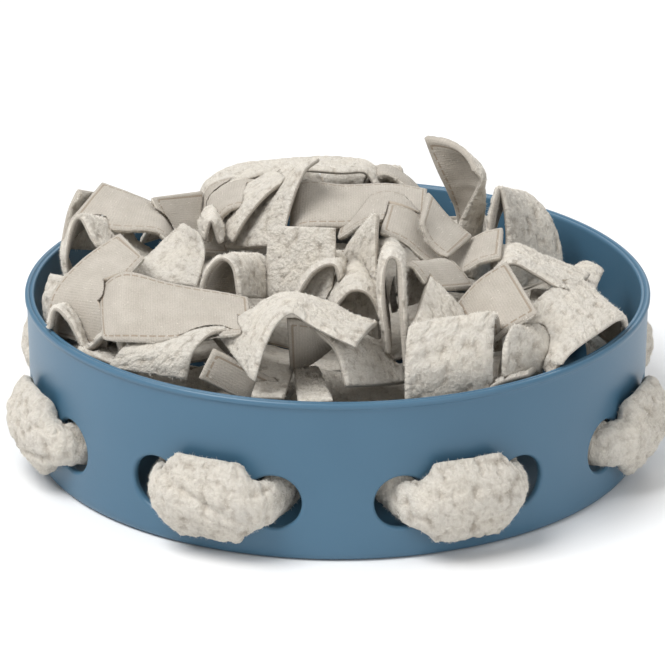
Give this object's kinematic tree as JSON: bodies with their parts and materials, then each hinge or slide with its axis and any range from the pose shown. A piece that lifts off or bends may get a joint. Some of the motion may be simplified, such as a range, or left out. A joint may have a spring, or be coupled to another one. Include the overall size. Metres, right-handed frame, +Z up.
{
  "type": "snuffle bowl",
  "caption": "Low round plastic bowl with round holes in its wall, filled with a loose heap of fleece strips; fleece straps loop through the holes.",
  "frame": {"origin": "middle of the flat underside of the bowl", "axes": "+Z up, the axis of the bowl; -Y the front, as pictured; +X to the right of the front"},
  "size_m": [0.2804, 0.2804, 0.1237],
  "materials": {
    "bowl_plastic": "moulded plastic, grey blue, soft satin sheen",
    "fleece_strip": "two-faced fleece, curly on one face and fine knit on the other, pale warm grey",
    "fleece_strap": "curly fleece, pale warm grey"
  },
  "bodies": {
    "root": {"bowl": "bowl_plastic", "strap_back_left": "fleece_strap", "strap_back_right": "fleece_strap", "strap_front_left": "fleece_strap", "strap_front_right": "fleece_strap", "strap_left": "fleece_strap", "strap_rear_left": "fleece_strap", "strap_rear_right": "fleece_strap", "strap_right": "fleece_strap", "strip_arch_left": "fleece_strip", "strip_back_band": "fleece_strip", "strip_back_inner": "fleece_strip", "strip_back_left": "fleece_strip", "strip_back_lump": "fleece_strip", "strip_back_right": "fleece_strip", "strip_curl_left": "fleece_strip", "strip_dark_square": "fleece_strip", "strip_diagonal_band": "fleece_strip", "strip_double_layer": "fleece_strip", "strip_fan": "fleece_strip", "strip_far_left": "fleece_strip", "strip_flat_right": "fleece_strip", "strip_front_low": "fleece_strip", "strip_front_lump": "fleece_strip", "strip_front_square": "fleece_strip", "strip_front_tip": "fleece_strip", "strip_hood": "fleece_strip", "strip_inner_back": "fleece_strip", "strip_inner_front": "fleece_strip", "strip_inner_middle": "fleece_strip", "strip_inside_right": "fleece_strip", "strip_knit_arch": "fleece_strip", "strip_left_flap": "fleece_strip", "strip_left_under": "fleece_strip", "strip_light_face": "fleece_strip", "strip_long_curve": "fleece_strip", "strip_mid_arch": "fleece_strip", "strip_mid_strip": "fleece_strip", "strip_panel": "fleece_strip", "strip_pointed": "fleece_strip", "strip_rear_left": "fleece_strip", "strip_rear_mid": "fleece_strip", "strip_rear_mid_left": "fleece_strip", "strip_ribbed": "fleece_strip", "strip_ribbed_panel": "fleece_strip", "strip_right_square": "fleece_strip", "strip_rim_left": "fleece_strip", "strip_rim_right": "fleece_strip", "strip_rim_wave": "fleece_strip", "strip_sherpa_triangle": "fleece_strip", "strip_small_arch": "fleece_strip", "strip_smooth_triangle": "fleece_strip", "strip_spike": "fleece_strip", "strip_standing_right": "fleece_strip", "strip_tall_curl": "fleece_strip", "strip_tunnel_front": "fleece_strip", "strip_tunnel_mid": "fleece_strip", "strip_twist": "fleece_strip", "strip_wide_knit": "fleece_strip"}
  },
  "joints": []
}
